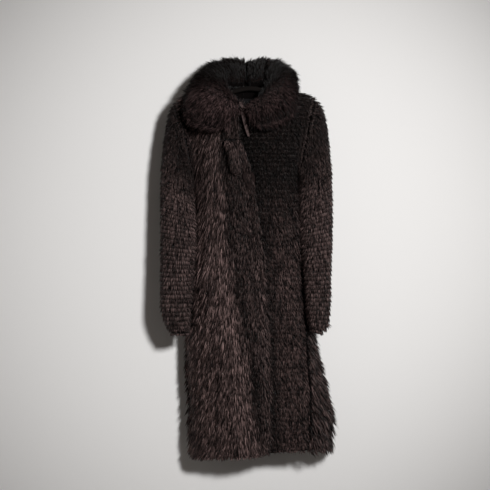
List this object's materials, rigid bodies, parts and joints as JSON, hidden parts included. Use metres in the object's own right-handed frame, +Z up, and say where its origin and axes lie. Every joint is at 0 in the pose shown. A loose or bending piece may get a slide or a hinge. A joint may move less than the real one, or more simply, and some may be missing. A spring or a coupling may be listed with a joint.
{
  "type": "shearling coat on a hanger",
  "caption": "Long shearling coat with a deep rolled fur collar and rows of fur round its sleeves, open at neck, cuffs and hem, hung on a plain hanger.",
  "frame": {"origin": "inner top of the hanger's hook, where it hangs on its nail", "axes": "+Z up, -Y to the coat's front, +X to the viewer's right, which is the wearer's left"},
  "size_m": [0.5214, 0.2364, 1.2047],
  "materials": {
    "back_fur": "dark brown fur, sheared even, worn outside",
    "front_right_fur": "dark brown fur, long and combed down",
    "front_left_fur": "darker brown fur with soft rows low down",
    "sleeve_right_fur": "dark brown fur in rows round the arm",
    "sleeve_left_fur": "dark brown fur in rows round the arm",
    "collar_right_fur": "near black long fur",
    "collar_left_fur": "near black long fur",
    "throat_tab_fur": "dark brown fur",
    "neck_facing_suede": "smooth grey brown suede",
    "front_facing_suede": "smooth grey brown suede",
    "label_cloth": "plain dark woven cloth",
    "hanger_wood": "dark stained wood",
    "hanger_steel": "darkened steel wire"
  },
  "bodies": {
    "root": {"back": "back_fur", "front_right": "front_right_fur", "front_left": "front_left_fur", "sleeve_right": "sleeve_right_fur", "sleeve_left": "sleeve_left_fur", "collar_right_back": "collar_right_fur", "collar_left_back": "collar_left_fur", "throat_tab": "throat_tab_fur", "neck_facing": "neck_facing_suede", "front_facing": "front_facing_suede", "label": "label_cloth", "hanger_arms": "hanger_wood", "hanger_hook": "hanger_steel", "collar_right_front": "collar_right_fur", "collar_left_front": "collar_left_fur"}
  },
  "joints": []
}
